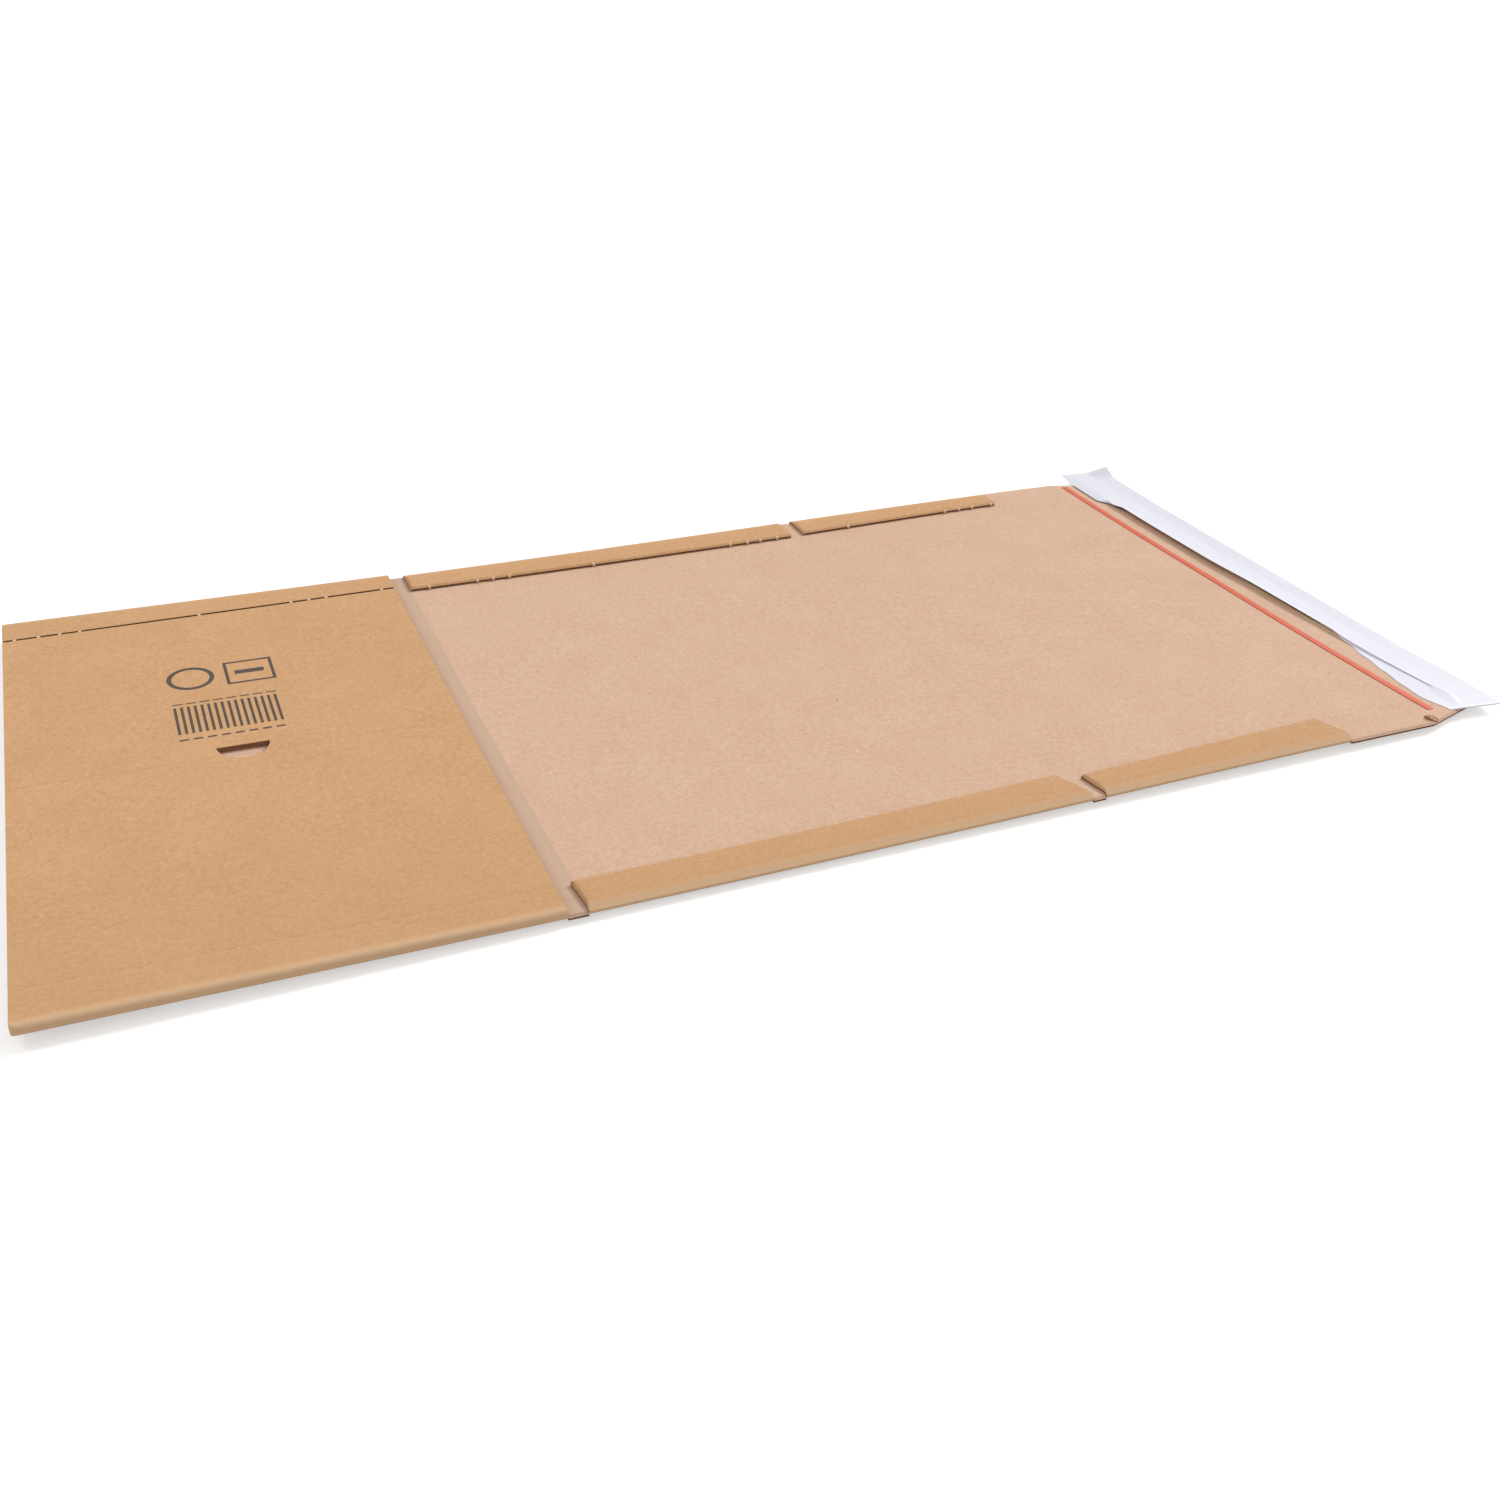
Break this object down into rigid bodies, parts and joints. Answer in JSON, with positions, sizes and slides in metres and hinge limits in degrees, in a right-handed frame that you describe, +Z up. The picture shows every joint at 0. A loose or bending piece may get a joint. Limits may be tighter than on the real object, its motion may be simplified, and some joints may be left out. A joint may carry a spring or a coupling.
{
  "type": "flattened cardboard box",
  "caption": "Flat wrap-around mailing box of corrugated board, edge strips and wing folded over, with tear strip and release liner on its closing flap.",
  "frame": {"origin": "centre of the sheet's outline, on the face it lies on", "axes": "+X along the length towards the closing flap, +Y towards the back edge, +Z up"},
  "size_m": [0.7336, 0.361, 0.0095],
  "materials": {
    "kraft_board": "uncoated brown kraft paper",
    "tear_film": "satin red film",
    "hot_melt": "clear yellowish hot melt",
    "release_paper": "smooth white silicone paper"
  },
  "bodies": {
    "root": {"corrugated_blank": "kraft_board", "tear_strip": "tear_film", "adhesive_strip": "hot_melt", "release_liner": "release_paper"}
  },
  "joints": []
}
